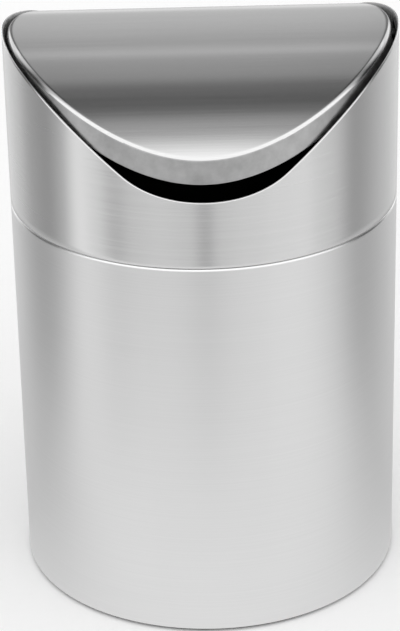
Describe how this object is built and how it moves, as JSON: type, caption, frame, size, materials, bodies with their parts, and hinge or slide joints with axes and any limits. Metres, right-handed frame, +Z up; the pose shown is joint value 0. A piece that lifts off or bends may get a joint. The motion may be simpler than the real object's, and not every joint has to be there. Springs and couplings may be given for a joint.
{
  "type": "countertop waste can with swing lid",
  "caption": "Round countertop waste can of brushed steel with a lift-off wave-rimmed head and a vaulted swing flap on side pivots.",
  "frame": {"origin": "centre of the can's footprint, on the surface that it stands on", "axes": "+Z up along the can's axis, -Y towards the front, +X to the right of someone facing the front; the flap's pivots lie along X"},
  "size_m": [0.12, 0.12, 0.1791],
  "materials": {
    "can_steel": "fine brushing round the wall",
    "head_steel": "fine brushing round the wall",
    "flap_steel": "fine brushing from side to side",
    "plain_steel": "plain rolled sheet",
    "black_steel": "thin black coating on steel",
    "black_plastic": "fine moulded grain",
    "nylon": "moulded natural nylon"
  },
  "bodies": {
    "can": {"can_shell": "can_steel", "bottom_pan": "plain_steel", "base_ring": "black_plastic"},
    "head": {"head_shell": "head_steel", "head_collar": "black_plastic", "pivot_strap_left": "black_steel", "pivot_strap_right": "black_steel", "strap_rivets": "black_steel", "pivot_pin_left": "black_steel", "pivot_pin_right": "black_steel"},
    "flap": {"flap_cover": "flap_steel", "flap_liner": "black_plastic", "pivot_bush_left": "nylon", "pivot_bush_right": "nylon"}
  },
  "joints": [
    {"name": "head_lift", "type": "slide", "parent": "can", "child": "head", "axis": [0, 0, 1], "range_m": [0, 0.06]},
    {"name": "flap_swing", "type": "hinge", "parent": "head", "child": "flap", "pos_m": [0, 0, 0.174], "axis": [1, 0, 0], "range_deg": [-58, 61]}
  ]
}
